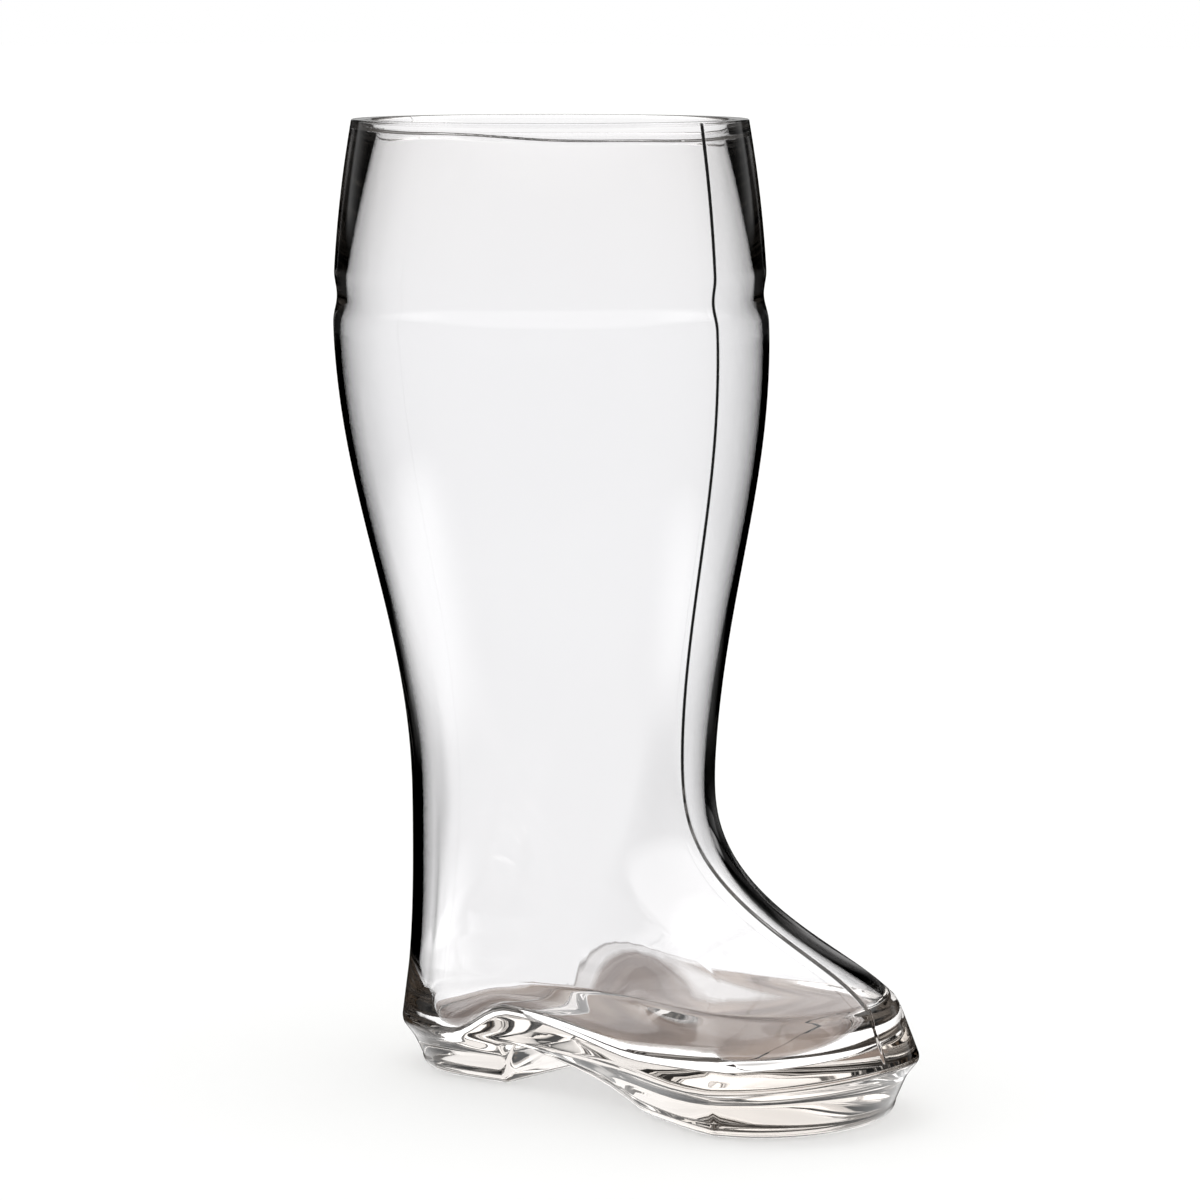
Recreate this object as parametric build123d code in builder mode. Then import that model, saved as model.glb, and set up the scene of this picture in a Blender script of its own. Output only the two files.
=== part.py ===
"""Boot-shaped beer glass: a moulded vessel with a cuff, standing on a heel and a forefoot sole.

Millimetres. +X points to the toe and +Z up. The origin is on the table, halfway along the boot.
Lengths along X are given from the rim's axis, which stands at rim_x.
"""
import math
import os

from build123d import *

# Outside of the leg and cuff, round in every level section
boot_height = 220.0
rim_radius = 45.2
calf_radius = 49.9
calf_height = 169.0
ankle_radius = 35.3
ankle_height = 71.6
ankle_forward = 4.5
ankle_pinch = 4.1

# Wall of the glass, thin at the calf, thicker down to the foot and thickest at the rim
rim_wall = 6.0
calf_wall = 2.2
foot_wall = 3.2
rim_round = 1.6

# Ring groove round the leg, where the cuff begins
ring_height = 180.0
ring_depth = 1.0
ring_width = 9.2

# Foot at the ledge over the sole, seen from above
heel_reach = 37.7
heel_radius = 27.1
toe_reach = 99.3
toe_radius = 33.3
waist_dip = 7.2

# Foot seen from the side: the toe wall leans back to a crease, then the vamp climbs to the ankle
ledge_height = 10.6
toe_spring = 3.1
spring_length = 40.9
crease_height = 24.0
crease_lean = 4.3
crease_radius = 29.7
vamp_lean = 1.8
vamp_rise = 12.8
instep_drop = 30.7
instep_radius = 6.7

# Floor of the hollow
heel_floor = 14.3
arch_floor = 20.5
toe_floor = 17.4
floor_round = 4.1
arch_length = 71.6

# Sole under the ledge: a heel and a forefoot wedge with an arch between them
sole_step = 2.6
sole_side_taper = 1.0
sole_end_taper = 3.6
sole_round = 3.1
breast_forward = 4.5
breast_lean = 2.7
arch_gap = 3.1
arch_rear_height = 1.0
arch_run = 37.9

# Drawing steps
pinch_fade = 8
toe_arc_steps = 6
side_steps = 6
side_turn = math.radians(12)
foot_steps = 9
leg_steps = 12
edge_steps = 3

ledge_tip_height = ledge_height + toe_spring
toe_wall_slope = crease_lean / (crease_height - ledge_tip_height)
calf_forward = ankle_forward * (ring_height - calf_height) / (ring_height - ankle_height)
rim_x = (calf_radius - calf_forward - toe_reach) / 2
ankle_back = ankle_radius - ankle_forward
ankle_front = ankle_radius + ankle_forward
cut_width = 2 * max(toe_radius, heel_radius, calf_radius)


def ease(share):
    """Smooth step from 0 to 1 with level ends."""
    return share * share * (3 - 2 * share)


def bend(share, *values):
    """Value at a share of the way along a Bezier curve."""
    if len(values) == 1:
        return values[0]
    first = bend(share, *values[:-1])
    last = bend(share, *values[1:])
    return first + (last - first) * share


def outline(back, back_radius, front, front_radius, dip=0.0):
    """Points round half a level section, toe to heel: toe arc, eased side and heel arc."""
    quarter = math.pi / 2
    arc_turn = quarter - side_turn
    turns = [(arc_turn * i / toe_arc_steps, 1.0) for i in range(toe_arc_steps)]
    for i in range(side_steps + 1):
        share = i / side_steps
        turns.append((arc_turn + 2 * side_turn * share, ease(1 - share)))
    for i in range(1, toe_arc_steps + 1):
        turns.append((math.pi - arc_turn * (1 - i / toe_arc_steps), 0.0))
    heel_x = rim_x + back + back_radius
    toe_x = rim_x + front - front_radius
    points = []
    for turn, toe_share in turns:
        middle = heel_x + (toe_x - heel_x) * toe_share
        radius = back_radius + (front_radius - back_radius) * toe_share
        radius -= dip * (4 * toe_share * (1 - toe_share)) ** 2
        points.append((middle + radius * math.cos(turn), radius * math.sin(turn)))
    return points


def leg_radius(height):
    """Outer radius of the leg, which swells from the ankle to the calf and narrows to the rim."""
    if height <= calf_height:
        climb = ease((height - ankle_height) / (calf_height - ankle_height))
        return ankle_radius + (calf_radius - ankle_radius) * climb
    climb = (height - calf_height) / (boot_height - calf_height)
    return calf_radius - (calf_radius - rim_radius) * climb**2


def leg_wall(height):
    """Thickness of the leg's wall, which follows the leg's own swell and narrowing."""
    if height <= calf_height:
        climb = ease((height - ankle_height) / (calf_height - ankle_height))
        return foot_wall + (calf_wall - foot_wall) * climb
    climb = (height - calf_height) / (boot_height - calf_height)
    return calf_wall + (rim_wall - calf_wall) * climb**2


def leg_section(height, hollow=False):
    """Section of the leg, round under the cuff, leaning and pinched in front towards the ankle."""
    radius = leg_radius(height) - (leg_wall(height) if hollow else 0.0)
    drop = (ring_height - height) / (ring_height - ankle_height)
    middle = ankle_forward * drop
    front_radius = radius - ankle_pinch * drop**pinch_fade
    return height, outline(middle - radius, radius, middle + radius, front_radius)


def foot_section(climb, inset=0.0):
    """Section of the foot at a share of the way up the vamp, from the crease to the ankle."""
    crease_front = toe_reach - crease_lean - inset
    vamp_front = crease_front - vamp_lean
    instep_front = ankle_front - inset
    vamp_height = crease_height + vamp_rise - inset
    instep_height = ankle_height - instep_drop - inset
    front = bend(climb, crease_front, vamp_front, instep_front, instep_front)
    height = bend(climb, crease_height, vamp_height, instep_height, ankle_height)
    front_radius = bend(climb, crease_radius, instep_radius, ankle_radius - ankle_pinch) - inset
    rise = (height - ledge_height) / (ankle_height - ledge_height)
    back = ankle_back + (heel_reach - ankle_back) * (1 - rise) ** 2 - inset
    back_radius = heel_radius + (ankle_radius - heel_radius) * ease(rise) - inset
    dip = waist_dip * (1 - rise) ** 2
    return height, outline(-back, back_radius, front, front_radius, dip)


def sole_section(height):
    """Section of the sole: the ledge's outline drawn in by the step, the taper and the rounded edge."""
    taper = 1 - height / ledge_tip_height
    under = max(sole_round - height, 0.0)
    inset = sole_step + sole_round - math.sqrt(sole_round**2 - under**2)
    side_inset = inset + sole_side_taper * taper
    end_inset = inset + sole_end_taper * taper
    back = end_inset - heel_reach
    front = toe_reach - end_inset
    return height, outline(back, heel_radius - side_inset, front, toe_radius - side_inset, waist_dip)


def wall_foot_section():
    """Foot of the toe and heel walls, carried on below the ledge, where the ledge trims it."""
    front = toe_reach + toe_wall_slope * toe_spring
    ledge_points = outline(-heel_reach, heel_radius, front, toe_radius, waist_dip)
    _, crease_points = foot_section(0)
    reach = toe_spring / (crease_height - ledge_height)
    points = []
    for (ledge_x, ledge_y), (crease_x, crease_y) in zip(ledge_points, crease_points):
        foot_x = ledge_x + (ledge_x - crease_x) * reach
        foot_y = ledge_y + (ledge_y - crease_y) * reach
        points.append((foot_x, foot_y))
    return ledge_height - toe_spring, points


def upper_sections(hollow=False):
    """Sections from the toe crease up the foot and the leg to the ring groove."""
    inset = foot_wall if hollow else 0.0
    foot = [foot_section(i / foot_steps, inset) for i in range(foot_steps)]
    leg_rise = ring_height - ankle_height
    leg = [leg_section(ankle_height + leg_rise * i / leg_steps, hollow) for i in range(leg_steps + 1)]
    return foot + leg


def cuff_curve(calf, rim):
    """Bezier points of a cuff profile, which narrows from a calf radius towards a rim radius."""
    span = boot_height - calf_height
    climb = (ring_height - calf_height) / span
    ring = calf - (calf - rim) * climb**2
    middle = ring - (calf - rim) * climb / span * (boot_height - ring_height)
    return (ring, ring_height), (middle, (ring_height + boot_height) / 2), (rim, boot_height)


def level_face(height, points):
    """Face inside a level section, whose two halves meet square to the seam plane."""
    with BuildSketch(Plane.XY.offset(height)) as section:
        with BuildLine():
            Spline(*points, tangents=((0, 1), (0, -1)), tangent_scalars=(1, 1))
            mirror(about=Plane.XZ)
        make_face()
    return section.sketch


# Space under the ledge, which springs up towards the toe
with BuildPart() as under_ledge:
    with BuildSketch(Plane.XZ):
        with BuildLine():
            rear = rim_x - cut_width
            front = rim_x + toe_reach
            level = Line((rear, ledge_height), (front - spring_length, ledge_height))
            spring = TangentArc(level @ 1, (front, ledge_tip_height), tangent=(1, 0))
            past_toe = front + cut_width
            Polyline(
                spring @ 1,
                (past_toe, ledge_tip_height),
                (past_toe, -ledge_height),
                (rear, -ledge_height),
                level @ 0,
            )
        make_face()
    extrude(amount=cut_width, both=True)

# Hollow of the foot and leg, with a hump in its floor over the arch
with BuildPart() as hollow:
    _, floor_points = foot_section(0, foot_wall + floor_round)
    floor_face = level_face(heel_floor, floor_points)
    loft([floor_face] + [level_face(*section) for section in upper_sections(hollow=True)])
    with BuildSketch(Plane.XZ):
        with BuildLine():
            heel_x = rim_x - heel_reach + heel_radius
            ball_x = rim_x + toe_reach - toe_radius
            arch_x = (heel_x + ball_x) / 2
            climb = Bezier(
                (arch_x - arch_length / 2, heel_floor),
                (arch_x - arch_length / 4, heel_floor),
                (arch_x - arch_length / 4, arch_floor),
                (arch_x, arch_floor),
            )
            fall = Bezier(
                climb @ 1,
                (arch_x + arch_length / 4, arch_floor),
                (arch_x + arch_length / 4, toe_floor),
                (arch_x + arch_length / 2, toe_floor),
            )
            Polyline(
                fall @ 1,
                (arch_x + cut_width, toe_floor),
                (arch_x + cut_width, 0),
                (arch_x - cut_width, 0),
                (arch_x - cut_width, heel_floor),
                climb @ 0,
            )
        make_face()
    extrude(amount=cut_width, both=True, mode=Mode.SUBTRACT)

# Round groove under the cuff
ring_leg_radius = leg_radius(ring_height)
ring_radius = (ring_depth**2 + (ring_width / 2) ** 2) / (2 * ring_depth)
ring_centre = ring_leg_radius - ring_depth + ring_radius
with BuildPart() as ring_groove:
    with BuildSketch(Plane.XZ.shift_origin((rim_x, 0, ring_height))):
        with Locations((ring_centre, 0)):
            Circle(ring_radius)
    revolve(axis=Axis((rim_x, 0, 0), (0, 0, 1)))

# Foot and leg: toe and heel walls up to the crease, then vamp and leg up to the groove
with BuildPart() as boot_upper:
    loft([level_face(*wall_foot_section()), level_face(*foot_section(0))], ruled=True)
    loft([level_face(*section) for section in upper_sections()])
    add(hollow.part, mode=Mode.SUBTRACT)
    add(under_ledge.part, mode=Mode.SUBTRACT)
    add(ring_groove.part, mode=Mode.SUBTRACT)

# Cuff over the groove, turned about the rim's axis, with a rounded rim
with BuildPart() as cuff:
    with BuildSketch(Plane.XZ.shift_origin((rim_x, 0, 0))):
        with BuildLine():
            outside = Bezier(*cuff_curve(calf_radius, rim_radius))
            inside = Bezier(*reversed(cuff_curve(calf_radius - calf_wall, rim_radius - rim_wall)))
            Line(outside @ 1, inside @ 0)
            Line(inside @ 1, outside @ 0)
        make_face()
    revolve(axis=Axis((rim_x, 0, 0), (0, 0, 1)))
    fillet(faces().sort_by(Axis.Z)[-1].edges(), rim_round)
    add(ring_groove.part, mode=Mode.SUBTRACT)

# Sole under the ledge, tapered down to a rounded edge, before the arch cuts it in two
with BuildPart() as sole:
    edge_turns = [math.pi / 2 * i / edge_steps for i in range(edge_steps + 1)]
    edge_heights = [sole_round * (1 - math.cos(turn)) for turn in edge_turns]
    loft([level_face(*sole_section(height)) for height in edge_heights])
    loft([level_face(*sole_section(height)) for height in (sole_round, ledge_tip_height)], ruled=True)

breast_x = rim_x + breast_forward
breast_top = breast_x + breast_lean
arch_rear = breast_top + arch_gap
arch_front = arch_rear + arch_run

# Heel, behind its leaning breast
with BuildPart() as heel:
    add(sole.part)
    with BuildSketch(Plane.XZ):
        with BuildLine():
            Polyline(
                (breast_top, ledge_height),
                (breast_x, 0),
                (breast_x, -ledge_height),
                (breast_x - cut_width, -ledge_height),
                (breast_x - cut_width, ledge_height),
                close=True,
            )
        make_face()
    extrude(amount=cut_width, both=True, mode=Mode.INTERSECT)

# Forefoot sole, a wedge that the arch thins towards the heel
with BuildPart() as forefoot_sole:
    add(sole.part)
    with BuildSketch(Plane.XZ):
        with BuildLine():
            front = rim_x + toe_reach
            level = Line((arch_rear, ledge_height), (front - spring_length, ledge_height))
            spring = TangentArc(level @ 1, (front, ledge_tip_height), tangent=(1, 0))
            Polyline(
                spring @ 1,
                (front, -ledge_height),
                (arch_front, -ledge_height),
                (arch_front, 0),
                (arch_rear, ledge_height - arch_rear_height),
                level @ 0,
            )
        make_face()
    extrude(amount=cut_width, both=True, mode=Mode.INTERSECT)

cuff.part.label = "cuff"
boot_upper.part.label = "boot_upper"
heel.part.label = "heel"
forefoot_sole.part.label = "forefoot_sole"

os.makedirs("parts", exist_ok=True)
export_step(cuff.part, "parts/cuff.step")
export_step(boot_upper.part, "parts/boot_upper.step")
export_step(heel.part, "parts/heel.step")
export_step(forefoot_sole.part, "parts/forefoot_sole.step")
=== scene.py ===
"""Clear glass beer boot on a plain pale floor, one continuous wall of glass from sole to rim."""
import math

import bpy
import numpy as np
from bpy.props import FloatProperty, FloatVectorProperty, PointerProperty
from bpy.types import Operator, Panel, PropertyGroup
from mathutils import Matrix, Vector


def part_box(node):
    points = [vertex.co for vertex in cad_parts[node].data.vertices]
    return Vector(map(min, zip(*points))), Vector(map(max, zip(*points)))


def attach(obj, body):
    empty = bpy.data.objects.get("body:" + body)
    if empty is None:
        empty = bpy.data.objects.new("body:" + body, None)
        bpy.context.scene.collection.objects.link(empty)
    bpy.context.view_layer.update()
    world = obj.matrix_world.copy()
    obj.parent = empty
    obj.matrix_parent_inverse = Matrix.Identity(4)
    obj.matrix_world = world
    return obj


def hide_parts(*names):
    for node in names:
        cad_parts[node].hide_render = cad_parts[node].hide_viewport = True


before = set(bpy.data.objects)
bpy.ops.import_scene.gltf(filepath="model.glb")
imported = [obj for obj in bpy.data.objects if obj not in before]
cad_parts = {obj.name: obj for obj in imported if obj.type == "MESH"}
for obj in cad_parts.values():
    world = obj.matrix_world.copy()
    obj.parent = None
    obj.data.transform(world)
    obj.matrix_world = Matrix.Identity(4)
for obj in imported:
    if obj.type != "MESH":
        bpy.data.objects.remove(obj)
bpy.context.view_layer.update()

bl_info = {
    "name": "Glass Boot",
    "version": (1, 0, 0),
    "blender": (4, 5, 0),
    "location": "View3D > Sidebar > Glass Boot",
    "description": "Builds a boot-shaped beer glass and the pale studio it stands in",
    "category": "Object",
}

CUFF_LOW, CUFF_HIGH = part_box("cuff")
TINY = 1e-9  # metres
TINY_AREA = 1e-12  # square metres, keeps the seam's direction finite where rings meet
WELD_DISTANCE = 1e-6  # metres, across the seam between the mould halves

# Rings of the mesh
ARC_STEPS = 8  # round the sole's edge and each edge of the rim
UNDERSIDE_ROWS = 8
SOLE_WALL_STEPS, UNDERCUT_STEPS, LIP_STEPS, WALL_STEPS = 6, 5, 6, 12
FOOT_STEPS = 56  # crease to ankle
LEG_STEPS = (40, 40, 34)  # ankle to groove, over the groove, groove to rim
GROOVE_REACH = 0.010  # metres over and under the groove that have close rings
FINE_REACH, FINE_STEPS = 0.007, 32  # metres under the rim that have close rings inside, for the polished band
FLOOR_ARC_STEPS, FLOOR_ROWS = 18, 14
SMOOTH_PASSES = 30

# Where roundings start and end, as shares of the surface that they cut into
SOLE_WALL_END = 0.8
UNDERCUT_START, UNDERCUT_END = 0.35, 0.75
WALL_START, WALL_END = 0.1, 0.82
VAMP_START = 0.05
BRINK_START = 0.06  # share of the climb from crease to ankle at which the rounding of the floor starts
EDGE_SHARE = 0.45  # of the sole's thickness, the most that its rounded edge takes
UNDERCUT_SHARE = 0.5  # and the most that the slope under the ledge takes
HEEL_SQUARE = 1.5  # how much squarer the floor's rounding is at the heel
DISH_WIDTH = 0.015  # half width in metres over which the floor's sag grows to its full depth
BAND_WAVES = ((3, 0.7, 1.0), (7, 2.0, 0.6))  # waves in the polished band's edge: count, phase and share
SEAM_OVER_RIM = 3  # rings of the rim that the mould seam runs on to
SEAM_FADE = 4  # rings over which it rises at its ends

# Stage
FLOOR_REACH, FLOOR_LEVEL = 20.0, -0.0004  # metres
SHADE_LEVEL = -0.0002  # metres
BOARD_ROUGHNESS = 0.9
SENSOR_WIDTH = 36.0  # millimetres
ALL_BOUNCES, GLASS_BOUNCES = 32, 24  # enough for light to find its way out of the sole
MIX_FIRST, MIX_SECOND, MIX_COLOUR = 6, 7, 2  # colour sockets of a Mix node: two inputs and the output

# Painted shadow of the glass on the table, seen only through the glass: places right of the middle and away from the
# camera in metres, how much it covers there, and how dark its painted border is
SHADE = (
    (-0.075, -0.030, 0.90, 0.0), (-0.055, -0.075, 0.90, 0.0), (0.010, -0.095, 0.90, 0.0), (0.070, -0.070, 0.90, 0.0),
    (0.095, 0.020, 0.90, 0.2), (0.082, 0.080, 0.80, 0.6), (0.052, 0.118, 0.75, 0.8), (0.030, 0.136, 0.75, 0.9),
    (0.013, 0.150, 0.75, 0.9), (0.000, 0.146, 0.75, 0.9), (-0.009, 0.118, 0.75, 0.8), (-0.016, 0.085, 0.85, 0.5),
    (-0.040, 0.058, 0.90, 0.4), (-0.058, 0.045, 0.90, 0.2),
)
# Rings of the painted shadow from the middle out: size, and the part of the cover and of the painted dark border that
# they have.
# A paler painted strip lies inside the border, and the last ring is the soft edge.
SHADE_RINGS = ((0.74, 1.0, 0.0), (0.84, 0.2, 0.0), (0.96, 0.2, 0.0), (1.0, 0.85, 1.0), (1.035, 0.0, 1.0))

# Light of the studio, row by row: a name, what is done, and with which values or earlier rows. A STEP changes smoothly
# where its first value passes from one number to the next, between the last two numbers. A CHOICE is its second value
# where the first is 0, and its third where that is 1.
STUDIO_LIGHT = (
    ("turn", "ARCTAN2", "right", "behind"),
    ("waves", "MULTIPLY", "turn", 8.0),
    ("panels", "COSINE", "waves"),  # eight upright panels round the table
    # What is seen straight through the glass: pale panels under an even white
    ("pale_panels", "STEP", "panels", -1.0, 0.9, 0.95, 1.03),
    ("white", "STEP", "up", 0.0, 0.1, 0.0, 1.0),
    ("seen", "MAXIMUM", "pale_panels", "white"),
    # What the glass mirrors inside: a low row of panels behind it, the table, the ceiling and a dim room
    ("panel_foot", "STEP", "up", 0.0, 0.03, 0.0, 1.0),
    ("panel_head", "STEP", "up", 0.12, 0.2, 1.0, 0.0),
    ("panel_row", "MULTIPLY", "panel_foot", "panel_head"),
    ("bright_panels", "STEP", "panels", -0.1, 0.6, 0.02, 0.5),
    ("backdrop", "STEP", "behind", 0.6, 0.9, 0.06, 1.0),
    ("back_panels", "MULTIPLY", "bright_panels", "backdrop"),
    ("panel_light", "MULTIPLY", "back_panels", "panel_row"),
    ("table_top", "STEP", "up", -0.25, -0.4, 0.0, 1.5),
    ("table_back", "STEP", "behind", -0.5, 0.0, 0.15, 1.0),
    ("table", "MULTIPLY", "table_top", "table_back"),
    ("ceiling", "STEP", "up", 0.42, 0.62, 0.0, 1.5),
    ("room", "STEP", "behind", 0.2, 0.6, 0.25, 0.0),
    ("up_and_down", "MAXIMUM", "table", "ceiling"),
    ("glow", "MAXIMUM", "up_and_down", "room"),
    ("all_round", "ADD", "panel_light", "glow"),
    ("spent", "STEP", "mirrorings", 1.5, 5.0, 1.0, 0.12),  # light dies away as it is mirrored again and again
    ("mirrored", "MULTIPLY", "all_round", "spent"),
    # Which of them a ray meets; the boards are lit evenly, and the camera sees plain white
    ("bounced", "GREATER_THAN", "mirrorings", 0.5),
    ("diffused", "GREATER_THAN", "scatterings", 0.5),
    ("in_glass", "CHOICE", "bounced", "seen", "mirrored"),
    ("on_boards", "CHOICE", "bounced", 1.16, 0.6),
    ("unseen", "CHOICE", "diffused", "in_glass", "on_boards"),
    ("light", "CHOICE", "camera", "unseen", 1.0),
)


def linear(hex_colour):
    """Linear colour of an sRGB hex value."""
    parts = [int(hex_colour[i:i + 2], 16) / 255 for i in (1, 3, 5)]
    return [p / 12.92 if p <= 0.04045 else ((p + 0.055) / 1.055) ** 2.4 for p in parts]


def length(name, description, millimetres):
    """A size in the sidebar, stored in metres."""
    return FloatProperty(name=name, description=description, default=millimetres / 1000, unit="LENGTH")


def colour(name, description, hex_colour):
    """A colour in the sidebar, given as an sRGB hex value."""
    return FloatVectorProperty(name=name, description=description, subtype="COLOR", size=3,
                               default=linear(hex_colour), min=0.0, max=1.0)


class BootSizes(PropertyGroup):
    """Sizes of the glass; lengths along X count from the rim's axis."""

    boot_height: length("Boot height", "Table to rim", 220.0)
    rim_radius: length("Rim radius", "Outside of the rim", 45.2)
    calf_radius: length("Calf radius", "Widest part of the leg", 49.8)
    calf_height: length("Calf height", "Height of the widest part", 169.0)
    ankle_radius: length("Ankle radius", "Narrowest part of the leg", 35.3)
    ankle_height: length("Ankle height", "Where the foot meets the leg", 71.6)
    ankle_forward: length("Ankle forward", "How far the leg leans to the toe", 4.5)
    ankle_pinch: length("Ankle pinch", "How much narrower the front of the ankle is", 4.1)
    rim_wall: length("Rim wall", "Glass thickness at the rim", 6.2)
    calf_wall: length("Calf wall", "Glass thickness at the calf", 1.4)
    foot_wall: length("Foot wall", "Glass thickness of the foot", 2.4)
    vamp_heavy: length("Vamp weight", "Extra glass behind the ridge of the vamp and the toe", 1.2)
    thin_from: length("Thin from", "Height over which the leg is thin", 112.0)
    thin_to: length("Thin to", "Height up to which the leg is thin", 172.0)
    rim_round: length("Rim rounding", "Fire-polished outer edge of the rim", 0.4)
    rim_melt: length("Rim melt", "Fire-polished inner edge of the rim", 1.2)
    bead_height: length("Rim bead height", "Depth of the polished band inside the rim", 3.0)
    bead_tilt: length("Rim bead tilt", "How much deeper the band is at the front than at the back", 1.2)
    bead_set: length("Rim band", "How far the polished band is set back", 1.3)
    bead_step: length("Rim bead edge", "Height of the step at the band's lower edge", 0.9)
    bead_wave: length("Rim bead wave", "How much the lower edge of the band wanders", 0.45)
    ring_height: length("Ring height", "Middle of the ring groove", 180.0)
    ring_depth: length("Ring depth", "Depth of the ring groove", 0.85)
    ring_width: length("Ring width", "Width of the ring groove", 12.0)
    heel_reach: length("Heel reach", "Rim axis to the back of the heel", 37.7)
    heel_radius: length("Heel radius", "Roundness of the heel from above", 27.1)
    toe_reach: length("Toe reach", "Rim axis to the tip of the toe", 99.3)
    toe_radius: length("Toe radius", "Roundness of the toe from above", 33.3)
    waist_dip: length("Waist dip", "How far the sides draw in at the waist", 7.2)
    ledge_height: length("Ledge height", "Ledge over the sole", 10.6)
    toe_spring: length("Toe spring", "Rise of the ledge at the toe", 3.1)
    spring_length: length("Spring length", "Length over which the ledge rises", 40.9)
    crease_height: length("Crease height", "Crease round the toe", 24.0)
    crease_lean: length("Crease lean", "How far the toe wall leans back", 4.3)
    crease_radius: length("Crease radius", "Roundness of the crease from above", 29.7)
    vamp_lean: length("Vamp lean", "Set-back of the vamp over the crease", 1.8)
    vamp_rise: length("Vamp rise", "Steepness of the vamp over the crease", 12.8)
    instep_drop: length("Instep drop", "Length of the instep's curve", 30.7)
    instep_radius: length("Instep radius", "Sharpness of the instep's ridge", 6.7)
    heel_floor: length("Heel floor", "Floor of the hollow at the heel", 9.8)
    arch_floor: length("Arch floor", "Top of the hump in the floor", 16.8)
    ball_floor: length("Ball floor", "Floor of the hollow under the ball of the foot", 11.6)
    toe_floor: length("Toe floor", "Floor of the hollow at the toe", 14.6)
    floor_side: length("Floor side rounding", "Rounding at the sides of the floor", 6.0)
    floor_toe: length("Floor toe rounding", "Rounding at the toe of the floor", 6.0)
    floor_heel: length("Floor heel rounding", "Rounding at the heel of the floor", 3.5)
    floor_dish: length("Floor dish", "How far the floor sags between its sides", 0.6)
    hump_back: length("Hump back", "Top of the hump, behind the forefoot", 5.0)
    sole_step: length("Sole step", "Set-back of the sole under the ledge", 2.6)
    undercut: length("Undercut", "Height of the slope under the ledge", 3.4)
    side_taper: length("Sole side taper", "Taper of the sole's sides", 1.0)
    end_taper: length("Sole end taper", "Taper of the sole's ends", 3.6)
    sole_round: length("Sole rounding", "Rounded lower edge of the sole", 3.1)
    breast_forward: length("Breast forward", "Foot of the heel's front face", 4.5)
    breast_lean: length("Breast lean", "Lean of the heel's front face", 2.7)
    arch_gap: length("Arch gap", "Gap between heel and forefoot", 3.1)
    arch_thin: length("Arch thickness", "Sole thickness at the back of the forefoot", 1.0)
    arch_run: length("Arch run", "Length of the forefoot's wedge", 37.9)
    roof_drop: length("Arch roof", "How far the arch's roof lies under the ledge", 0.3)
    seam_width: length("Seam width", "Half width of the mould seam", 0.7)
    seam_proud: length("Front seam", "How far the mould seam at the front stands out", 0.4)
    back_seam: length("Back seam", "How far the mould seam at the back stands out", 0.05)


class GlassLook(PropertyGroup):
    """Finish of the glass."""

    tint: colour("Tint", "Colour of the glass surface", "#FEFEFF")
    depth_tint: colour("Depth tint", "Colour that thick glass takes on", "#F7F0E8")
    depth_density: FloatProperty(name="Depth density", description="Strength of the tint in thick glass",
                                 default=18.0, min=0.0)
    ior: FloatProperty(name="IOR", description="Refractive index of soda-lime glass", default=1.52, min=1.0)
    ripple: length("Ripple", "Spacing of the faint ripples left by the mould", 9.0)


class StudioLook(PropertyGroup):
    """Floor, light and camera."""

    floor_colour: colour("Floor", "Colour of the floor", "#F7F7F6")
    # Painted shade under the glass: a brown shadow with a darker border and lighter streaks, all painted on one sheet
    painted_shade_colour: colour("Shade", "Colour of the glass's shade on the table", "#716057")
    painted_border_colour: colour("Border", "Colour of the shade's border", "#4A4039")
    painted_streak_colour: colour("Streaks", "Colour of the light streaks in the shade", "#AF9D90")
    painted_streak_spacing: length("Streak spacing", "Distance between the streaks in the shade", 32.0)
    camera_turn: FloatProperty(name="Camera turn", description="Direction of the camera round the glass",
                               default=math.radians(42.17), subtype="ANGLE")
    camera_distance: length("Camera distance", "Rim axis to camera", 1074.4)
    camera_height: length("Camera height", "Camera over the table", 246.1)
    aim_side: length("Aim offset", "Where the camera aims, right of the rim axis", 11.32)
    aim_height: length("Aim height", "Height that the camera aims at", 109.72)
    lens: FloatProperty(name="Lens", description="Focal length on a 36 mm sensor, in millimetres",
                        default=141.135, min=1.0)


def ease(share):
    """Smooth step from 0 to 1 with level ends."""
    share = np.clip(share, 0.0, 1.0)
    return share * share * (3 - 2 * share)


def swell(off):
    """Round hump that is 1 in the middle and 0 from 1 outwards."""
    return np.where(np.abs(off) < 1, (1 + np.cos(np.pi * off)) / 2, 0.0)


def bend(share, *values):
    """Value at a share of the way along a Bezier curve."""
    if len(values) == 1:
        return values[0]
    first = bend(share, *values[:-1])
    last = bend(share, *values[1:])
    return first + (last - first) * share


def quarter_turns(steps):
    """Turns from 0 to a quarter circle."""
    return [math.pi / 2 * i / steps for i in range(steps + 1)]


def turned_in(points, amount):
    """Points of a half outline moved square to it, inwards, with both ends kept on the seam plane."""
    along = np.gradient(points[:, :2], axis=0)
    along[0] = (0.0, 1.0)
    along[-1] = (0.0, -1.0)
    along /= np.linalg.norm(along, axis=1)[:, None]
    out = np.stack([along[:, 1], -along[:, 0]], axis=1)
    moved = points.copy()
    moved[:, :2] -= out * np.broadcast_to(amount, len(points))[:, None]
    return moved, out


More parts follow.
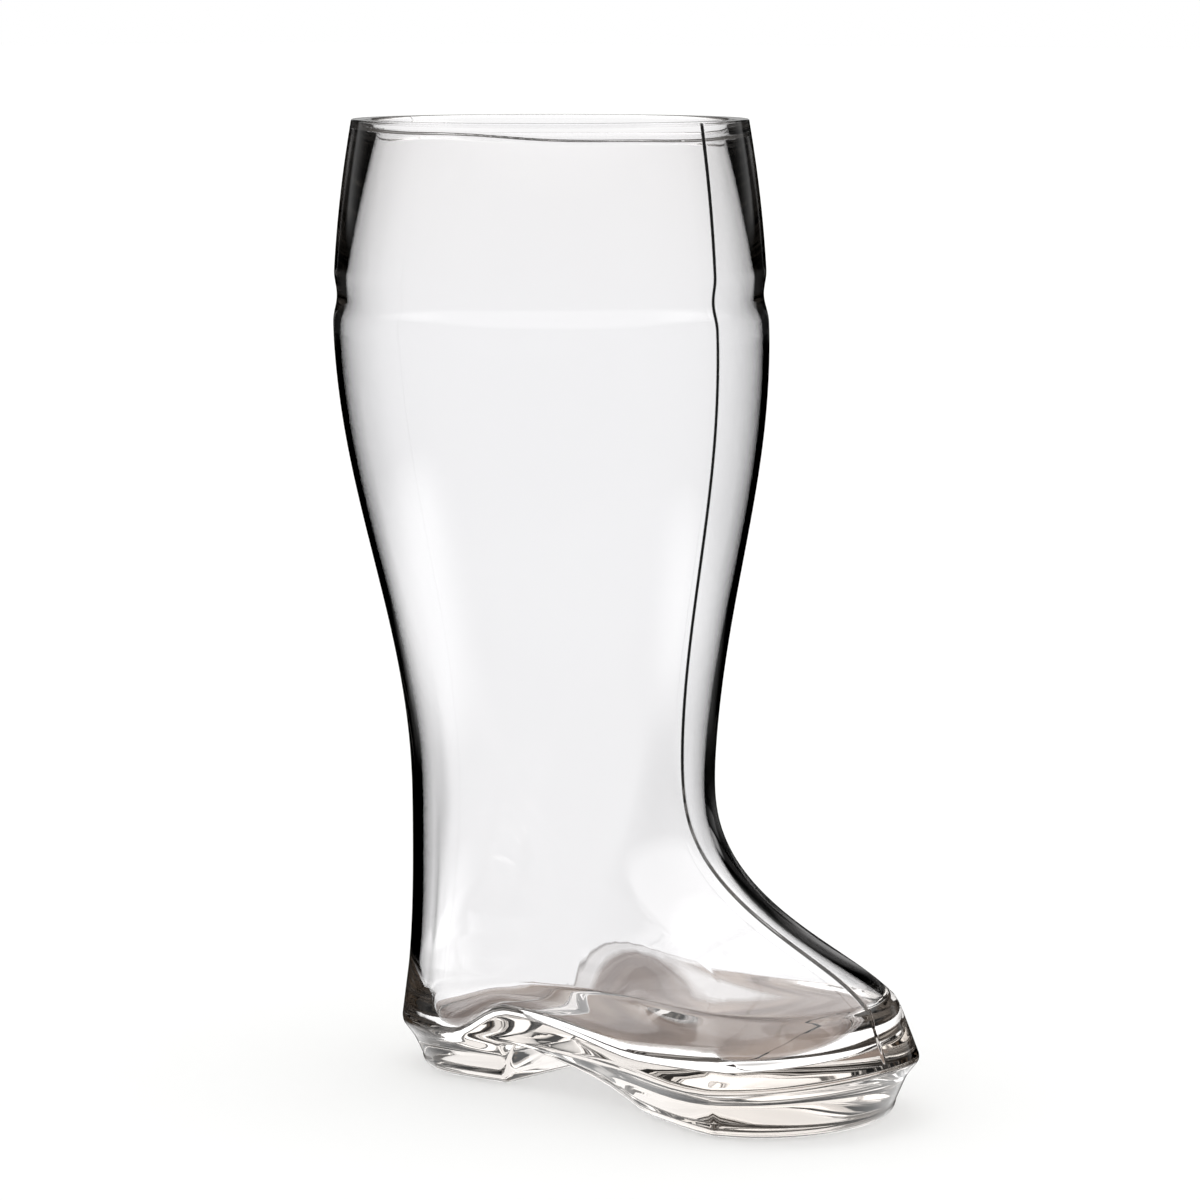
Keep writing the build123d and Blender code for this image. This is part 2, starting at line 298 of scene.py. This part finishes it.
class BootForm:
    """Level rings of one mould half, from toe to heel, at the columns that the mesh has."""

    # Columns of the mesh
    arc_columns = 24  # round the toe, and as many round the heel
    seam_steps = (0, 0.17, 0.34, 0.5, 0.67, 0.84, 1.0, 1.3, 1.8, 2.6, 3.8)  # across the seam, in half widths
    side_turn = math.radians(12)  # half of the turn that the side makes between the two arcs
    side_samples = 400
    front_columns, breast_columns, back_columns = 12, 18, 8  # along the side
    breast_margin = (0.002, 0.003)  # close columns behind the heel's front face and before the arch

    # Shape
    pinch_fade = 8  # power by which the ankle's pinch dies away up the leg
    heavy_climb = 0.5  # share of the climb to the ankle over which the vamp's extra glass dies away
    breast_round, round_samples = 0.0011, 9  # soft edges of the heel's front face and the arch

    def __init__(self, sizes):
        self.size = s = sizes
        self.rim_x = (CUFF_LOW.x + CUFF_HIGH.x) / 2
        self.ledge_tip = s.ledge_height + s.toe_spring
        self.toe_slope = s.crease_lean / (s.crease_height - self.ledge_tip)
        self.ankle_back = s.ankle_radius - s.ankle_forward
        self.ankle_front = s.ankle_radius + s.ankle_forward
        self.spring_start = self.rim_x + s.toe_reach - s.spring_length
        self.spring_radius = (s.spring_length**2 + s.toe_spring**2) / (2 * s.toe_spring)
        self.breast_x = self.rim_x + s.breast_forward
        self.breast_top = self.breast_x + s.breast_lean
        self.arch_rear = self.breast_top + s.arch_gap
        self.arch_front = self.arch_rear + s.arch_run
        self.turn, self.toe_share = self.columns()

    def columns(self):
        """Turn and toe share of each column: close together at the seams and at the heel's front face."""
        s = self.size
        arc_turn = math.pi / 2 - self.side_turn
        seam = np.array(self.seam_steps) * s.seam_width / s.toe_radius
        arc = np.linspace(seam[-1], arc_turn, self.arc_columns + 1)[1:-1]
        toe = np.concatenate([seam, arc])

        # The side is sampled finely first, to place its columns by their distance along the foot
        share = np.linspace(0, 1, self.side_samples)
        self.turn = arc_turn + 2 * self.side_turn * share
        self.toe_share = ease(1 - share)
        side_x = self.ledge_outline()[:, 0]
        behind, before = self.breast_margin
        near = np.linspace(self.breast_x - behind, self.arch_rear + before, self.breast_columns)
        front = np.linspace(side_x[0], near[-1], self.front_columns)[:-1]
        back = np.linspace(near[0], side_x[-1], self.back_columns)[1:]
        picked = np.interp(-np.concatenate([front, near[::-1], back]), -side_x, share)

        turn = np.concatenate([toe, arc_turn + 2 * self.side_turn * picked, math.pi - toe[::-1]])
        toe_share = np.concatenate([np.ones(len(toe)), ease(1 - picked), np.zeros(len(toe))])
        return turn, toe_share

    def outline(self, back, back_radius, front, front_radius, dip=0.0):
        """Half outline: toe arc, eased side and heel arc."""
        heel_x = self.rim_x + back + back_radius
        toe_x = self.rim_x + front - front_radius
        middle = heel_x + (toe_x - heel_x) * self.toe_share
        radius = back_radius + (front_radius - back_radius) * self.toe_share
        radius = radius - dip * (4 * self.toe_share * (1 - self.toe_share)) ** 2
        points = np.zeros((len(self.turn), 3))
        points[:, 0] = middle + radius * np.cos(self.turn)
        points[:, 1] = radius * np.abs(np.sin(self.turn))
        points[points[:, 1] < TINY, 1] = 0.0
        return points

    def ledge_outline(self):
        """Half outline of the ledge over the sole."""
        s = self.size
        return self.outline(-s.heel_reach, s.heel_radius, s.toe_reach, s.toe_radius, s.waist_dip)

    def ledge_rise(self, x):
        """Height of the ledge, which springs up towards the toe."""
        run = np.maximum(x - self.spring_start, 0.0)
        return self.size.ledge_height + self.spring_radius - np.sqrt(self.spring_radius**2 - run**2)

    def underside(self, x):
        """Height of the sole's underside: heel, heel's front face, arch and forefoot, softly rounded."""
        s = self.size
        places = [self.breast_x, self.breast_top, self.arch_rear, self.arch_front]
        heights = [0.0, s.ledge_height - s.roof_drop, s.ledge_height - s.arch_thin, 0.0]
        spread = np.linspace(-1, 1, self.round_samples) * self.breast_round
        return np.mean([np.interp(x + shift, places, heights) for shift in spread], axis=0)

    def floor(self, x):
        """Height of the hollow's floor along the foot, with its hump over the arch."""
        s = self.size
        heel_x = self.rim_x - s.heel_reach + s.heel_radius
        ball_x = self.rim_x + s.toe_reach - s.toe_radius
        toe_x = self.rim_x + s.toe_reach - s.crease_lean - s.foot_wall
        places = (heel_x, self.arch_rear - s.hump_back, self.arch_front, ball_x, toe_x)
        heights = (s.heel_floor, s.arch_floor, s.ball_floor, s.ball_floor, s.toe_floor)
        level = np.full_like(x, s.heel_floor)
        for k in range(len(places) - 1):
            share = (x - places[k]) / (places[k + 1] - places[k])
            level = level + (heights[k + 1] - heights[k]) * ease(share)
        return level

    def leg_radius(self, height):
        """Outside radius of the leg, which swells from the ankle to the calf and draws in to the rim."""
        s = self.size
        if height <= s.calf_height:
            climb = ease((height - s.ankle_height) / (s.calf_height - s.ankle_height))
            return s.ankle_radius + (s.calf_radius - s.ankle_radius) * climb
        climb = (height - s.calf_height) / (s.boot_height - s.calf_height)
        return s.calf_radius - (s.calf_radius - s.rim_radius) * climb**2

    def leg_wall(self, height):
        """Glass thickness: heavy at the rim and the foot, thin where the leg was blown widest."""
        s = self.size
        places = (s.ankle_height, s.thin_from, s.thin_to, s.boot_height)
        return np.interp(height, places, (s.foot_wall, s.calf_wall, s.calf_wall, s.rim_wall))

    def leg_ring(self, height, inset=0.0):
        """Ring of the leg, which leans to the toe below the groove; an inset gives the hollow."""
        s = self.size
        radius = self.leg_radius(height) - inset
        drop = max(s.ring_height - height, 0.0) / (s.ring_height - s.ankle_height)
        middle = s.ankle_forward * drop
        front_radius = radius - s.ankle_pinch * drop**self.pinch_fade
        points = self.outline(middle - radius, radius, middle + radius, front_radius)
        points[:, 2] = height
        return points

    def foot_ring(self, climb, inset=0.0):
        """Ring of the foot at a share of the climb from crease to ankle; an inset gives the hollow."""
        s = self.size
        heavy = s.vamp_heavy * ease((1 - climb) / self.heavy_climb) if inset else 0.0
        crease_front = s.toe_reach - s.crease_lean - inset
        vamp_front = crease_front - s.vamp_lean
        instep_front = self.ankle_front - inset
        vamp_height = s.crease_height + s.vamp_rise - inset
        instep_height = s.ankle_height - s.instep_drop - inset
        front = bend(climb, crease_front, vamp_front, instep_front, instep_front)
        height = bend(climb, s.crease_height, vamp_height, instep_height, s.ankle_height)
        front_radius = bend(climb, s.crease_radius, s.instep_radius, s.ankle_radius - s.ankle_pinch) - inset
        rise = (height - s.ledge_height) / (s.ankle_height - s.ledge_height)
        back = self.ankle_back + (s.heel_reach - self.ankle_back) * (1 - rise) ** 2 - inset
        back_radius = s.heel_radius + (s.ankle_radius - s.heel_radius) * ease(rise) - inset
        dip = s.waist_dip * (1 - rise) ** 2
        points = self.outline(-back, back_radius, front - heavy, front_radius, dip)
        points[:, 2] = height
        return points


def smoothed(rings):
    """Rings eased up and down the glass, with the first and last kept."""
    rings = np.array(rings)
    for _ in range(SMOOTH_PASSES):
        rings[1:-1] = rings[:-2] / 4 + rings[1:-1] / 2 + rings[2:] / 4
    return rings


def rounded(first, corner, last, steps):
    """Rings round a corner between two rings."""
    return [bend(i / steps, first, corner, last) for i in range(steps + 1)]


def sole_rings(form):
    """From the middle of the underside and round the sole's edge, with the rings that the lip starts from."""
    s = form.size
    ledge = form.ledge_outline()
    ledge[:, 2] = form.ledge_rise(ledge[:, 0])
    wall_top, out = turned_in(ledge, s.sole_step)
    taper = s.side_taper + (s.end_taper - s.side_taper) * out[:, 0] ** 2
    foot, _ = turned_in(ledge, s.sole_step + taper)
    foot[:, 2] = form.underside(foot[:, 0])
    thickness = ledge[:, 2] - foot[:, 2]
    edge_round = np.minimum(s.sole_round, EDGE_SHARE * thickness)
    edge = []
    for turn in quarter_turns(ARC_STEPS):
        ring, _ = turned_in(foot, edge_round * (1 - math.sin(turn)))
        ring[:, 2] = form.underside(ring[:, 0]) + edge_round * (1 - math.cos(turn))
        edge.append(ring)
    rows = [edge[0] * (1.0, i / UNDERSIDE_ROWS, 1.0) for i in range(UNDERSIDE_ROWS)]
    wall_top[:, 2] = ledge[:, 2] - np.minimum(s.undercut, UNDERCUT_SHARE * thickness)
    return rows + edge, wall_top, ledge


def lip_rings(form, wall_foot, wall_top, ledge):
    """From the sole's edge round the lip, and from there up the toe and heel walls to the crease."""
    s = form.size
    tip_front = s.toe_reach + form.toe_slope * s.toe_spring
    low = form.outline(-s.heel_reach, s.heel_radius, tip_front, s.toe_radius, s.waist_dip)
    low[:, 2] = s.ledge_height
    crease = form.foot_ring(0.0)
    start = ((ledge[:, 2] - s.ledge_height) / (s.crease_height - s.ledge_height))[:, None]

    def sole_wall(share):
        return wall_foot + (wall_top - wall_foot) * share

    def undercut(share):
        return wall_top + (wall(0.0) - wall_top) * share

    def wall(share):
        return low + (crease - low) * (start + (1 - start) * share)

    lip = [sole_wall(i / SOLE_WALL_STEPS) for i in range(1, SOLE_WALL_STEPS - 1)]
    lip += rounded(sole_wall(SOLE_WALL_END), wall_top, undercut(UNDERCUT_START), UNDERCUT_STEPS)
    lip += rounded(undercut(UNDERCUT_END), wall(0.0), wall(WALL_START), LIP_STEPS)
    walls = [wall(i / WALL_STEPS) for i in range(2, WALL_STEPS - 2)]
    walls += rounded(wall(WALL_END), crease, form.foot_ring(VAMP_START), LIP_STEPS)
    return lip, walls


def leg_heights(s):
    """Heights of the leg's rings, closest at the ring groove."""
    stops = (s.ankle_height, s.ring_height - GROOVE_REACH, s.ring_height + GROOVE_REACH, s.boot_height - s.rim_round)
    spans = [np.linspace(low, high, steps, endpoint=False) for low, high, steps in zip(stops, stops[1:], LEG_STEPS)]
    return np.append(np.concatenate(spans), stops[-1])


def outside_rings(form, heights):
    """Vamp, instep and leg, from over the crease to the rim."""
    climbs = [VAMP_START + (1 - VAMP_START) * i / FOOT_STEPS for i in range(1, FOOT_STEPS)]
    return smoothed([form.foot_ring(climb) for climb in climbs] + [form.leg_ring(height) for height in heights])


def inside_rings(form, heights):
    """The hollow, from the brink of its floor to the rim."""
    s = form.size
    climbs = [BRINK_START + (1 - BRINK_START) * i / FOOT_STEPS for i in range(FOOT_STEPS)]
    fine_from = s.boot_height - FINE_REACH
    fine = np.linspace(fine_from, s.boot_height - s.rim_melt, FINE_STEPS)
    heights = np.append(heights[heights < fine_from], fine)
    foot = [form.foot_ring(climb, s.foot_wall) for climb in climbs]
    return smoothed(foot + [form.leg_ring(height, form.leg_wall(height)) for height in heights])


def press_groove(form, stack):
    """Presses the ring groove into rings of the leg."""
    s = form.size
    depth = s.ring_depth * swell((stack[:, :, 2:3] - s.ring_height) / (s.ring_width / 2))
    spoke = stack[:, :, :2] - np.array([form.rim_x, 0.0])
    stack[:, :, :2] -= depth * spoke / np.linalg.norm(spoke, axis=2, keepdims=True)


def set_band(form, inside):
    """Sets back the polished band inside the rim, which has a lower edge that wanders."""
    s = form.size
    waves = sum(share * np.sin(count * form.turn + phase) for count, phase, share in BAND_WAVES)
    wander = s.bead_wave * waves / sum(share for _, _, share in BAND_WAVES) + s.bead_tilt * np.cos(form.turn)
    below = s.boot_height - inside[:, :, 2]
    band = ease((s.bead_height + wander - below) / s.bead_step + 0.5)
    return np.array([turned_in(ring, -s.bead_set * share)[0] for ring, share in zip(inside, band)])


def rim_rings(s, outer, inner):
    """Fire-polished rim, up over its outer edge and down over its inner one."""
    turns = quarter_turns(ARC_STEPS)
    steps = [(outer, s.rim_round, 1, turn) for turn in turns[1:]]
    steps += [(inner, s.rim_melt, -1, turn) for turn in turns[::-1]]
    rings = []
    for edge, rounding, inwards, turn in steps:
        ring, _ = turned_in(edge, inwards * rounding * (1 - math.cos(turn)))
        ring[:, 2] = s.boot_height - rounding * (1 - math.sin(turn))
        rings.append(ring)
    return rings


def floor_rings(form, brink):
    """Rounded sides of the hollow's floor, and the floor itself as far as its middle."""
    s = form.size
    _, out = turned_in(brink, 0.0)
    forward = out[:, 0]
    end_round = np.where(forward > 0, s.floor_toe, s.floor_heel)
    reach = s.floor_side + (end_round - s.floor_side) * forward**2
    brim, _ = turned_in(brink, reach)
    level = form.floor(brim[:, 0])
    power = np.where(forward < 0, 1 + HEEL_SQUARE * forward**2, 1.0)
    rings = []
    for turn in quarter_turns(FLOOR_ARC_STEPS)[1:]:
        ring, _ = turned_in(brink, reach * (1 - math.cos(turn)) ** power)
        ring[:, 2] = brink[:, 2] + (level - brink[:, 2]) * math.sin(turn)
        rings.append(ring)
    edge = rings[-1]
    for i in range(1, FLOOR_ROWS + 1):
        share = 1 - i / FLOOR_ROWS
        row = edge.copy()
        row[:, 1] *= share
        row[:, 2] -= s.floor_dish * (1 - share**2) * ease(edge[:, 1] / DISH_WIDTH)
        rings.append(row)
    return rings


def glass_rings(form):
    """All the rings of one mould half, and between which of them the mould seam runs."""
    heights = leg_heights(form.size)
    sole, wall_top, ledge = sole_rings(form)
    lip, walls = lip_rings(form, sole[-1], wall_top, ledge)
    outside = outside_rings(form, heights)
    inside = inside_rings(form, heights)
    for stack in (outside, inside):
        press_groove(form, stack)
    inside = set_band(form, inside)
    rim = rim_rings(form.size, outside[-1], inside[-1])
    floor = floor_rings(form, inside[0])
    seam_from = len(sole) + len(lip)
    seam_to = seam_from + len(walls) + len(outside) + SEAM_OVER_RIM
    return np.array([*sole, *lip, *walls, *outside, *rim, *inside[-2::-1], *floor]), seam_from, seam_to


def add_seam(form, rings, first, last):
    """Raises the fine mould seam along the front and back of the outside."""
    s = form.size
    stack = rings[first:last]
    out = np.cross(np.gradient(stack, axis=1), np.gradient(stack, axis=0))
    out /= np.linalg.norm(out, axis=2, keepdims=True) + TINY_AREA
    height = swell(np.abs(stack[:, :, 1]) / s.seam_width)
    height *= np.where(form.toe_share > 0.5, s.seam_proud, s.back_seam)
    place = np.arange(len(stack))
    fade = ease(np.minimum(place, place[::-1]) / SEAM_FADE)
    moved = out * (height * fade[:, None])[:, :, None]
    moved[:, :, 1] = np.where(stack[:, :, 1] > 0, moved[:, :, 1], 0.0)
    stack += moved


def half_mesh(rings):
    """Mesh of one mould half, a grid of quads over its rings and columns."""
    count, columns, _ = rings.shape
    index = np.arange(count * columns).reshape(count, columns)
    quads = np.stack([index[:-1, :-1], index[:-1, 1:], index[1:, 1:], index[1:, :-1]], axis=2)
    mesh = bpy.data.meshes.new("mould_half")
    mesh.from_pydata(rings.reshape(-1, 3).tolist(), [], quads.reshape(-1, 4).tolist())
    mesh.update()
    return mesh


def node(tree, kind, settings=None, inputs=None):
    """Adds a node with its settings; an input is a value, or the socket that feeds it."""
    made = tree.nodes.new(kind)
    for key, value in (settings or {}).items():
        setattr(made, key, value)
    for key, value in (inputs or {}).items():
        if isinstance(value, bpy.types.NodeSocket):
            tree.links.new(value, made.inputs[key])
        else:
            made.inputs[key].default_value = value
    return made


def empty_tree(owner):
    """Node tree of a material or a world, with nothing in it."""
    owner.use_nodes = True
    owner.node_tree.nodes.clear()
    return owner.node_tree


def mould_tree(material):
    """Geometry Nodes tree that joins a mould half to its mirror image along the seam."""
    tree = bpy.data.node_groups.new("mould_halves", "GeometryNodeTree")
    tree.interface.new_socket("Half", in_out="INPUT", socket_type="NodeSocketGeometry")
    weld = tree.interface.new_socket("Weld distance", in_out="INPUT", socket_type="NodeSocketFloat")
    weld.subtype = "DISTANCE"
    tree.interface.new_socket("Glass", in_out="OUTPUT", socket_type="NodeSocketGeometry")
    entry = node(tree, "NodeGroupInput")
    other = node(tree, "GeometryNodeTransform", inputs={
        "Geometry": entry.outputs["Half"], "Scale": (1.0, -1.0, 1.0)})
    turned = node(tree, "GeometryNodeFlipFaces", inputs={"Mesh": other.outputs["Geometry"]})
    both = node(tree, "GeometryNodeJoinGeometry", inputs={"Geometry": entry.outputs["Half"]})
    tree.links.new(turned.outputs["Mesh"], both.inputs["Geometry"])
    welded = node(tree, "GeometryNodeMergeByDistance", inputs={
        "Geometry": both.outputs["Geometry"], "Distance": entry.outputs["Weld distance"]})
    smooth = node(tree, "GeometryNodeSetShadeSmooth", inputs={"Geometry": welded.outputs["Geometry"]})
    real = node(tree, "GeometryNodeRealizeInstances", inputs={"Geometry": smooth.outputs["Geometry"]})
    coated = node(tree, "GeometryNodeSetMaterial", inputs={
        "Geometry": real.outputs["Geometry"], "Material": material})
    node(tree, "NodeGroupOutput", inputs={"Glass": coated.outputs["Geometry"]})
    return tree, weld.identifier


def soda_lime_glass(look):
    """Pressed clear soda-lime glass: bright and colourless, black where its curved edges bend light away."""
    material = bpy.data.materials.new("soda_lime_glass")
    tree = empty_tree(material)
    place = node(tree, "ShaderNodeTexCoord")
    ripple = node(tree, "ShaderNodeTexNoise", inputs={
        "Vector": place.outputs["Object"], "Scale": 1 / look.ripple, "Detail": 1.0, "Roughness": 0.4})
    bump = node(tree, "ShaderNodeBump", inputs={
        "Height": ripple.outputs["Fac"], "Strength": 0.006, "Distance": 0.001})
    glass = node(tree, "ShaderNodeBsdfPrincipled", inputs={
        "Base Color": (*look.tint, 1.0), "Roughness": 0.0, "IOR": look.ior,
        "Transmission Weight": 1.0, "Normal": bump.outputs["Normal"]})
    depth = node(tree, "ShaderNodeVolumeAbsorption", inputs={
        "Color": (*look.depth_tint, 1.0), "Density": look.depth_density})
    node(tree, "ShaderNodeOutputMaterial", inputs={
        "Surface": glass.outputs["BSDF"], "Volume": depth.outputs["Volume"]})
    return material


class BOOT_OT_glass(Operator):
    """Build the glass from its two mould halves"""

    bl_idname = "boot.glass"
    bl_label = "Build glass"

    def execute(self, context):
        form = BootForm(context.scene.boot_sizes)
        rings, seam_from, seam_to = glass_rings(form)
        add_seam(form, rings, seam_from, seam_to)
        glass = soda_lime_glass(context.scene.glass_look)
        half = bpy.data.objects.new("mould_half", half_mesh(rings))
        context.collection.objects.link(half)
        tree, weld = mould_tree(glass)
        halves = half.modifiers.new("mould_halves", "NODES")
        halves.node_group = tree
        halves[weld] = WELD_DISTANCE
        graph = context.evaluated_depsgraph_get()
        mesh = bpy.data.meshes.new_from_object(half.evaluated_get(graph))
        bpy.data.objects.remove(half)
        if not mesh.polygons:
            raise RuntimeError("The mould halves gave no glass")
        boot = bpy.data.objects.new("glass_boot", mesh)
        context.collection.objects.link(boot)
        boot.visible_shadow = False  # the light that clear glass lets through would be missing from its shadow
        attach(boot, "root")
        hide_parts("cuff", "boot_upper", "heel", "forefoot_sole")
        return {"FINISHED"}


def matt_white_board(look):
    """Matt painted board: even and without shine, so that only the glass takes the eye."""
    material = bpy.data.materials.new("matt_white_board")
    tree = empty_tree(material)
    surface = node(tree, "ShaderNodeBsdfPrincipled", inputs={
        "Base Color": (*look.floor_colour, 1.0), "Roughness": BOARD_ROUGHNESS, "Specular IOR Level": 0.0})
    node(tree, "ShaderNodeOutputMaterial", inputs={"Surface": surface.outputs["BSDF"]})
    return material


def painted_shade_board(look):
    """Matt board painted with a warm brown shadow, lighter painted streaks and a darker painted border: the shade that
    shows in the glass's floor.
    """
    material = bpy.data.materials.new("painted_shade_board")
    tree = empty_tree(material)
    # Painted lighter streaks: noise mixes a paler brown into the painted shadow
    place = node(tree, "ShaderNodeTexCoord")
    cloud = node(tree, "ShaderNodeTexNoise", inputs={
        "Vector": place.outputs["Object"], "Scale": 1 / look.painted_streak_spacing, "Detail": 1.0, "Distortion": 0.2})
    share = node(tree, "ShaderNodeMapRange", {"interpolation_type": "SMOOTHSTEP"}, {
        "Value": cloud.outputs["Fac"], "From Min": 0.36, "From Max": 0.74})
    painted_streaks = node(tree, "ShaderNodeMix", {"data_type": "RGBA"}, {
        "Factor": share.outputs["Result"],
        MIX_FIRST: (*look.painted_shade_colour, 1.0), MIX_SECOND: (*look.painted_streak_colour, 1.0)})
    # Painted darker border round the painted shadow
    painted_border = node(tree, "ShaderNodeAttribute", {"attribute_name": "painted_border"})
    edged = node(tree, "ShaderNodeMix", {"data_type": "RGBA"}, {
        "Factor": painted_border.outputs["Fac"],
        MIX_FIRST: painted_streaks.outputs[MIX_COLOUR], MIX_SECOND: (*look.painted_border_colour, 1.0)})

    # The painted shadow shows to light that comes straight through the glass, not to light that was mirrored in it
    ray = node(tree, "ShaderNodeLightPath")
    straight = node(tree, "ShaderNodeMath", {"operation": "LESS_THAN"}, {0: ray.outputs["Glossy Depth"], 1: 0.5})
    painted_shade_cover = node(tree, "ShaderNodeAttribute", {"attribute_name": "painted_shade_cover"})
    shown = node(tree, "ShaderNodeMath", {"operation": "MULTIPLY"}, {
        0: painted_shade_cover.outputs["Fac"], 1: straight.outputs["Value"]})
    surface = node(tree, "ShaderNodeBsdfPrincipled", inputs={
        "Base Color": edged.outputs[MIX_COLOUR], "Roughness": BOARD_ROUGHNESS, "Specular IOR Level": 0.0,
        "Alpha": shown.outputs["Value"]})
    node(tree, "ShaderNodeOutputMaterial", inputs={"Surface": surface.outputs["BSDF"]})
    return material


def studio_light(scene, behind, right):
    """World of a glass studio, built row by row from the table of its light."""
    scene.world = bpy.data.worlds.new("studio")
    tree = empty_tree(scene.world)
    ray = node(tree, "ShaderNodeLightPath")
    way = node(tree, "ShaderNodeTexCoord")
    light = {"mirrorings": ray.outputs["Glossy Depth"], "scatterings": ray.outputs["Diffuse Depth"],
             "camera": ray.outputs["Is Camera Ray"]}
    for name, axis in (("behind", behind), ("right", right), ("up", (0.0, 0.0, 1.0))):
        made = node(tree, "ShaderNodeVectorMath", {"operation": "DOT_PRODUCT"}, {0: way.outputs["Generated"], 1: axis})
        light[name] = made.outputs["Value"]
    for name, kind, *values in STUDIO_LIGHT:
        values = [light.get(value, value) for value in values]
        if kind == "STEP":
            inputs = dict(zip(("Value", "From Min", "From Max", "To Min", "To Max"), values))
            made = node(tree, "ShaderNodeMapRange", {"interpolation_type": "SMOOTHSTEP"}, inputs)
        elif kind == "CHOICE":
            made = node(tree, "ShaderNodeMix", {"data_type": "FLOAT"}, dict(zip(("Factor", "A", "B"), values)))
        else:
            made = node(tree, "ShaderNodeMath", {"operation": kind}, dict(enumerate(values)))
        light[name] = made.outputs[0]
    shine = node(tree, "ShaderNodeBackground", inputs={"Color": (1.0, 1.0, 1.0, 1.0), "Strength": light["light"]})
    node(tree, "ShaderNodeOutputWorld", inputs={"Surface": shine.outputs["Background"]})


def flat_piece(scene, name, corners, faces, material):
    """A level stage piece with the given corners."""
    mesh = bpy.data.meshes.new(name)
    mesh.from_pydata(corners, [], faces)
    mesh.materials.append(material)
    piece = bpy.data.objects.new(name, mesh)
    scene.collection.objects.link(piece)
    return piece


def lay_floor(scene):
    """Wide white floor, which catches the shade next to the glass but doesn't show in it."""
    corners = [(x * FLOOR_REACH, y * FLOOR_REACH, FLOOR_LEVEL) for x, y in ((-1, -1), (1, -1), (1, 1), (-1, 1))]
    floor = flat_piece(scene, "floor", corners, [(0, 1, 2, 3)], matt_white_board(scene.studio_look))
    floor.visible_glossy = False
    floor.visible_transmission = False


def lay_shade(scene, to_camera, right):
    """Painted warm shadow on the table, a fan with rings round it, which shows only in the glass."""
    outline = [right * across - to_camera * away for across, away, _, _ in SHADE]
    count = len(outline)
    places = [Vector((0.0, 0.0, 0.0))] + [place * size for size, _, _ in SHADE_RINGS for place in outline]
    faces = []
    for i in range(count):
        here, there = 1 + i, 1 + (i + 1) % count
        faces.append((0, here, there))
        faces += [(here + k, here + k + count, there + k + count, there + k)
                  for k in range(0, count * (len(SHADE_RINGS) - 1), count)]
    corners = [place + Vector((0.0, 0.0, SHADE_LEVEL)) for place in places]
    # The piece named table is a sheet that carries the painted shadow, not a table top
    table = flat_piece(scene, "table", corners, faces, painted_shade_board(scene.studio_look))
    painted_shade_covers, painted_borders = [1.0], [0.0]
    for _, part, edge in SHADE_RINGS:
        for _, _, painted_shade_cover, dark in SHADE:
            # Inside the painted dark border, the strip is only as pale as the border is dark
            painted_shade_covers.append(painted_shade_cover * (part if edge else 1 + (part - 1) * dark))
            painted_borders.append(edge * dark)
    for name, values in (("painted_shade_cover", painted_shade_covers), ("painted_border", painted_borders)):
        table.data.attributes.new(name, "FLOAT", "POINT").data.foreach_set("value", values)
    table.visible_camera = False
    table.visible_diffuse = False
    table.visible_shadow = False


def set_camera(scene, to_camera, right):
    """Camera where the photograph was taken from."""
    look = scene.studio_look
    axis = Vector((BootForm(scene.boot_sizes).rim_x, 0.0, 0.0))
    place = axis + to_camera * look.camera_distance + Vector((0.0, 0.0, look.camera_height))
    aim = axis + right * look.aim_side + Vector((0.0, 0.0, look.aim_height))
    camera = bpy.data.objects.new("camera", bpy.data.cameras.new("camera"))
    camera.data.lens = look.lens
    camera.data.sensor_width = SENSOR_WIDTH
    camera.location = place
    camera.rotation_euler = (aim - place).to_track_quat("-Z", "Y").to_euler()
    scene.collection.objects.link(camera)
    scene.camera = camera


class BOOT_OT_stage(Operator):
    """Lay the floor, light the studio and set the camera"""

    bl_idname = "boot.stage"
    bl_label = "Build stage"

    def execute(self, context):
        scene = context.scene
        if "glass_boot" not in scene.objects:
            raise RuntimeError("The glass is built before its stage")
        turn = scene.studio_look.camera_turn
        to_camera = Vector((math.sin(turn), -math.cos(turn), 0.0))
        right = Vector((math.cos(turn), math.sin(turn), 0.0))
        lay_floor(scene)
        lay_shade(scene, to_camera, right)
        set_camera(scene, to_camera, right)
        studio_light(scene, -to_camera, right)
        scene.view_settings.view_transform = "Standard"
        scene.cycles.max_bounces = ALL_BOUNCES
        scene.cycles.glossy_bounces = scene.cycles.transmission_bounces = GLASS_BOUNCES
        return {"FINISHED"}


class BOOT_PT_panel(Panel):
    """Glass boot tools in the sidebar"""

    bl_idname = "BOOT_PT_panel"
    bl_label = "Glass Boot"
    bl_space_type = "VIEW_3D"
    bl_region_type = "UI"
    bl_category = "Glass Boot"

    def draw(self, context):
        layout = self.layout
        for group in ("boot_sizes", "glass_look", "studio_look"):
            column = layout.column()
            settings = getattr(context.scene, group)
            for name in settings.bl_rna.properties.keys():
                if name not in ("rna_type", "name"):
                    column.prop(settings, name)
        for operator in (BOOT_OT_glass, BOOT_OT_stage):
            layout.operator(operator.bl_idname)


CLASSES = (BootSizes, GlassLook, StudioLook, BOOT_OT_glass, BOOT_OT_stage, BOOT_PT_panel)


def register():
    """Adds the classes, and their settings to each scene."""
    for cls in CLASSES:
        bpy.utils.register_class(cls)
    bpy.types.Scene.boot_sizes = PointerProperty(type=BootSizes)
    bpy.types.Scene.glass_look = PointerProperty(type=GlassLook)
    bpy.types.Scene.studio_look = PointerProperty(type=StudioLook)


def unregister():
    """Takes the settings and the classes away again."""
    del bpy.types.Scene.boot_sizes
    del bpy.types.Scene.glass_look
    del bpy.types.Scene.studio_look
    for cls in reversed(CLASSES):
        bpy.utils.unregister_class(cls)


def main():
    """Builds the glass and its stage."""
    register()
    bpy.ops.boot.glass()
    bpy.ops.boot.stage()


if __name__ == "__main__":
    main()
